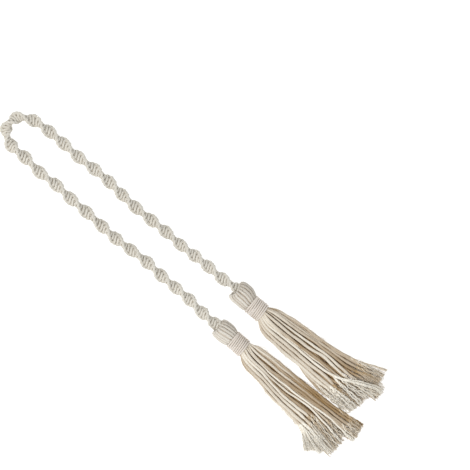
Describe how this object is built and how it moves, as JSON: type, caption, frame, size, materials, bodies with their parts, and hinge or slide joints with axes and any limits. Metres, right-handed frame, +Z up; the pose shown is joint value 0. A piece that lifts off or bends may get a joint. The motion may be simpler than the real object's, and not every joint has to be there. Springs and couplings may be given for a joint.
{
  "type": "curtain tieback tassel",
  "caption": "Curtain tieback: a knotted, spiralling cotton cord lying folded double, with a bound head and a fanned cut-yarn tassel at each end.",
  "frame": {"origin": "on the surface that the tieback lies on, under the middle of its bounding box", "axes": "+X from the fold of the cord to the tassels, +Y across, towards the tassel whose head lies nearer the fold, +Z up from the surface"},
  "size_m": [0.4733, 0.1121, 0.0223],
  "materials": {
    "cotton_string": "natural undyed cotton string in knots, matt",
    "cotton_yarn": "natural undyed cotton yarn, loosely twisted, matt, frayed at its cut ends",
    "cotton_wrap": "natural undyed cotton string wound tight, matt"
  },
  "bodies": {
    "root": {"knotted_cord": "cotton_string", "tassel_a": "cotton_yarn", "tassel_b": "cotton_yarn", "wrap_a": "cotton_wrap", "wrap_b": "cotton_wrap"}
  },
  "joints": []
}
